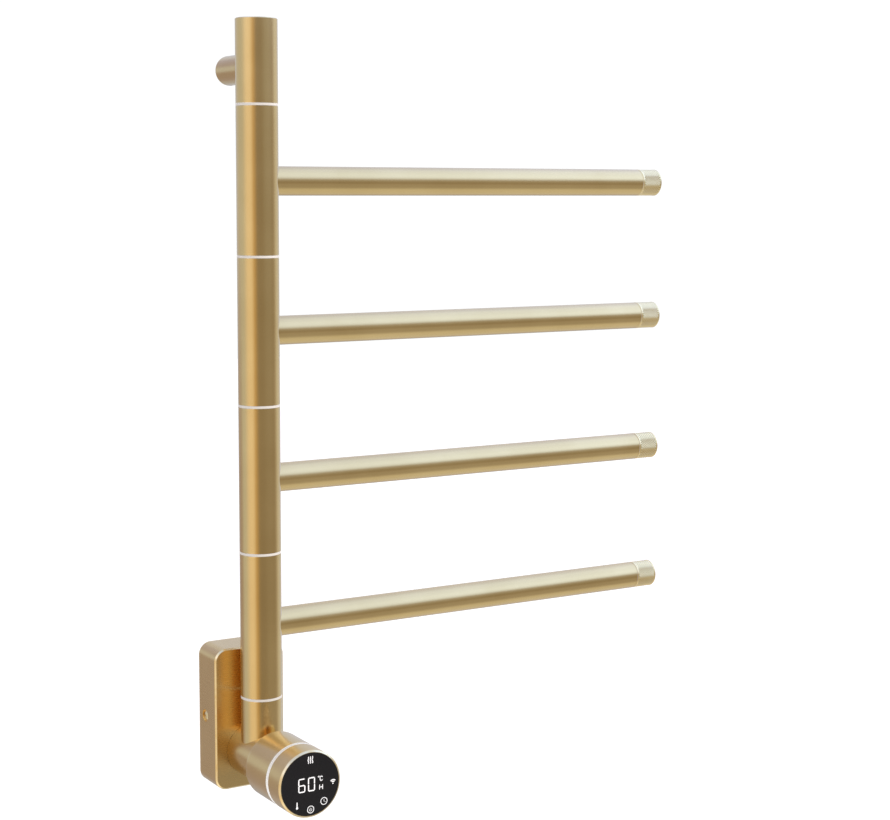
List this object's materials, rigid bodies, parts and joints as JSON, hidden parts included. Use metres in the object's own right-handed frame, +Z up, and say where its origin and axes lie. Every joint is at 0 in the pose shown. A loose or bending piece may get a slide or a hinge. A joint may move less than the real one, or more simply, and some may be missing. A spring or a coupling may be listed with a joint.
{
  "type": "towel warmer rack",
  "caption": "Wall-mounted electric towel warmer with heated round bars that swing on an upright post, above a level cylindrical control head and a slim wall box.",
  "frame": {"origin": "on the wall, at the middle of the wall box's back plate", "axes": "+Z up, +Y into the wall, -Y into the room, +X along the bars at rest"},
  "size_m": [0.4827, 0.1583, 0.7088],
  "materials": {
    "gold": "champagne-gold coating over brushed stainless steel",
    "knurled_gold": "diamond-knurled champagne gold",
    "brass_screw": "polished",
    "steel": "zinc-plated",
    "nylon": "white nylon",
    "light_ring": "translucent white",
    "black_glass": "black-backed polished glass",
    "black_plastic": "moulded",
    "grommet": "matte",
    "circuit_board": "solder mask",
    "terminal": "moulded",
    "copper": "wound and taped",
    "wire": "silicone sleeve"
  },
  "bodies": {
    "frame": {"wall_box_cover": "gold", "back_plate": "steel", "cover_screws": "brass_screw", "cable_grommet": "grommet", "terminal_block": "terminal", "terminal_screws": "steel", "power_board": "circuit_board", "transformer": "copper", "relay": "black_plastic", "hub_flange": "steel", "hub_flange_screws": "steel", "hub_set_screw": "steel", "hub_tube": "gold", "hub_front_plate": "steel", "hub_leads": "wire", "lower_post": "gold", "fixed_bushes": "nylon", "mast": "steel", "mast_leads": "wire", "spacer_rings": "nylon", "top_post": "gold", "top_plug": "gold", "wave_washer": "steel", "mast_nut": "steel", "standoff": "gold", "standoff_bracket": "steel", "standoff_grub_screw": "steel", "head_housing": "gold", "light_ring": "light_ring", "head_barrel": "gold", "head_chassis": "black_plastic", "head_screws": "steel", "glass_face": "black_glass", "display_board": "circuit_board", "led_display": "black_plastic", "touch_springs": "steel", "control_board": "circuit_board", "board_pillars": "brass_screw", "board_screws": "steel"},
    "arm_1": {"sleeve_1": "gold", "bar_1": "gold", "end_cap_1": "knurled_gold", "heater_1": "steel", "sleeve_bushes_1": "nylon"},
    "arm_2": {"sleeve_2": "gold", "bar_2": "gold", "end_cap_2": "knurled_gold", "heater_2": "steel", "sleeve_bushes_2": "nylon"},
    "arm_3": {"sleeve_3": "gold", "bar_3": "gold", "end_cap_3": "knurled_gold", "heater_3": "steel", "sleeve_bushes_3": "nylon"},
    "arm_4": {"sleeve_4": "gold", "bar_4": "gold", "end_cap_4": "knurled_gold", "heater_4": "steel", "sleeve_bushes_4": "nylon"}
  },
  "joints": [
    {"name": "bar_1_swing", "type": "hinge", "parent": "frame", "child": "arm_1", "pos_m": [0, -0.061, 0.0933], "axis": [0, 0, 1], "range_deg": [-180, 0]},
    {"name": "bar_2_swing", "type": "hinge", "parent": "frame", "child": "arm_2", "pos_m": [0, -0.061, 0.2283], "axis": [0, 0, 1], "range_deg": [-180, 0]},
    {"name": "bar_3_swing", "type": "hinge", "parent": "frame", "child": "arm_3", "pos_m": [0, -0.061, 0.3633], "axis": [0, 0, 1], "range_deg": [-180, 0]},
    {"name": "bar_4_swing", "type": "hinge", "parent": "frame", "child": "arm_4", "pos_m": [0, -0.061, 0.4983], "axis": [0, 0, 1], "range_deg": [-180, 0]}
  ]
}
